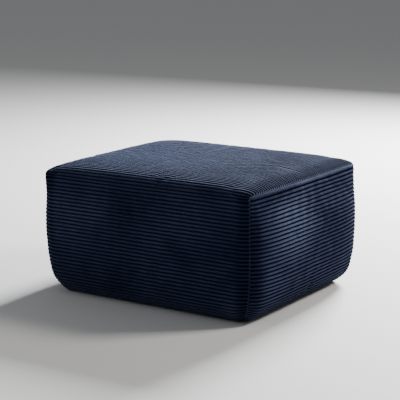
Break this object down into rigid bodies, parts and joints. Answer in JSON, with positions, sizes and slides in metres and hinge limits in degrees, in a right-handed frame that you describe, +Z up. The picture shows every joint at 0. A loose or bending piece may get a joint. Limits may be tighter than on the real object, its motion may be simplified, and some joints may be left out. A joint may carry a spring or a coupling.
{
  "type": "ottoman",
  "caption": "Softly filled box ottoman in wide-wale corduroy, with a ribbed wrap over its front, top and back and a padded panel on each end.",
  "frame": {"origin": "on the floor, under the middle of the ottoman", "axes": "+X along the length towards the right end, -Y out of the front, +Z up"},
  "size_m": [0.828, 0.673, 0.42],
  "materials": {
    "wrap_corduroy": "wide-wale cotton corduroy, matt with a soft nap sheen",
    "end_corduroy": "wide-wale cotton corduroy, matt with a soft nap sheen"
  },
  "bodies": {
    "root": {"wrap": "wrap_corduroy", "side_panel_right": "end_corduroy", "side_panel_left": "end_corduroy"}
  },
  "joints": []
}
